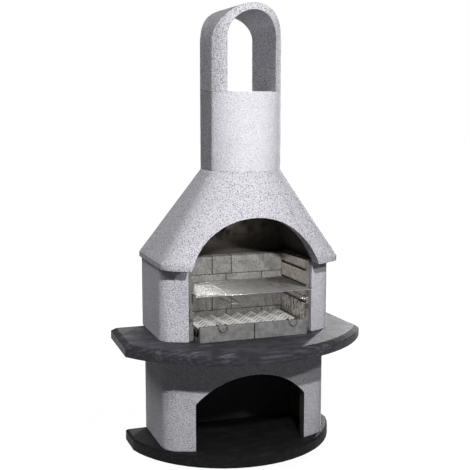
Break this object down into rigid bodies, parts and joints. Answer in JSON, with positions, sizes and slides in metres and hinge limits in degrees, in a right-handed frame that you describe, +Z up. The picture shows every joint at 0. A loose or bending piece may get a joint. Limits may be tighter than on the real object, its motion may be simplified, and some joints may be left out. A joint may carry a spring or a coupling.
{
  "type": "outdoor masonry barbecue",
  "caption": "Garden barbecue of stacked castings: log store, wide worktop, firebrick-lined hearth under an arched hood and chimney, wire cooking grate and folded charcoal grate.",
  "frame": {"origin": "centre of the bounding box, on the ground plane under the base slab", "axes": "+Z up, the height; -Y is the front with the fire opening; +Y the straight back; X runs across, +X at the right hand of someone facing the front"},
  "size_m": [1.235, 0.725, 2.2],
  "materials": {
    "roughcast": "pale speckled roughcast",
    "worktop_concrete": "smooth anthracite concrete",
    "base_concrete": "black concrete",
    "grey_concrete": "plain grey concrete",
    "firebrick": "grey-buff firebrick",
    "ember_tile": "grey refractory tile",
    "folded_steel": "bright folded sheet",
    "chromed_wire": "chromed wire",
    "dark_wire": "heat-darkened steel wire"
  },
  "bodies": {
    "masonry": {"back_tile_1_1": "firebrick", "back_tile_1_2": "firebrick", "back_tile_1_3": "firebrick", "back_tile_2_1": "firebrick", "back_tile_2_2": "firebrick", "back_tile_2_3": "firebrick", "back_tile_3_1": "firebrick", "back_tile_3_2": "firebrick", "back_tile_3_3": "firebrick", "back_tile_4_1": "firebrick", "back_tile_4_2": "firebrick", "back_tile_4_3": "firebrick", "base_slab": "base_concrete", "cheek_left": "roughcast", "cheek_right": "roughcast", "chimney_block": "roughcast", "chimney_top": "roughcast", "hearth_slab": "grey_concrete", "hood": "roughcast", "lower_back_panel": "grey_concrete", "lower_shell": "roughcast", "rear_wall": "grey_concrete", "side_brick_left_1": "firebrick", "side_brick_left_2": "firebrick", "side_brick_left_3": "firebrick", "side_brick_left_4": "firebrick", "side_brick_right_1": "firebrick", "side_brick_right_2": "firebrick", "side_brick_right_3": "firebrick", "side_brick_right_4": "firebrick", "worktop": "worktop_concrete"},
    "cooking_grate_body": {"cooking_grate": "chromed_wire"},
    "charcoal_grate_body": {"charcoal_grate": "folded_steel"},
    "left_ember_tile": {"front_tile_left": "ember_tile", "tile_handle_left": "dark_wire"},
    "right_ember_tile": {"front_tile_right": "ember_tile", "tile_handle_right": "dark_wire"}
  },
  "joints": [
    {"name": "cooking_grate_slide", "type": "slide", "parent": "masonry", "child": "cooking_grate_body", "axis": [0, -1, 0], "range_m": [0, 0.22]},
    {"name": "charcoal_grate_lift", "type": "slide", "parent": "masonry", "child": "charcoal_grate_body", "axis": [0, 0, 1], "range_m": [0, 0.12]},
    {"name": "left_ember_tile_lift", "type": "slide", "parent": "masonry", "child": "left_ember_tile", "axis": [0, 0, 1], "range_m": [0, 0.12]},
    {"name": "right_ember_tile_lift", "type": "slide", "parent": "masonry", "child": "right_ember_tile", "axis": [0, 0, 1], "range_m": [0, 0.12]}
  ]
}
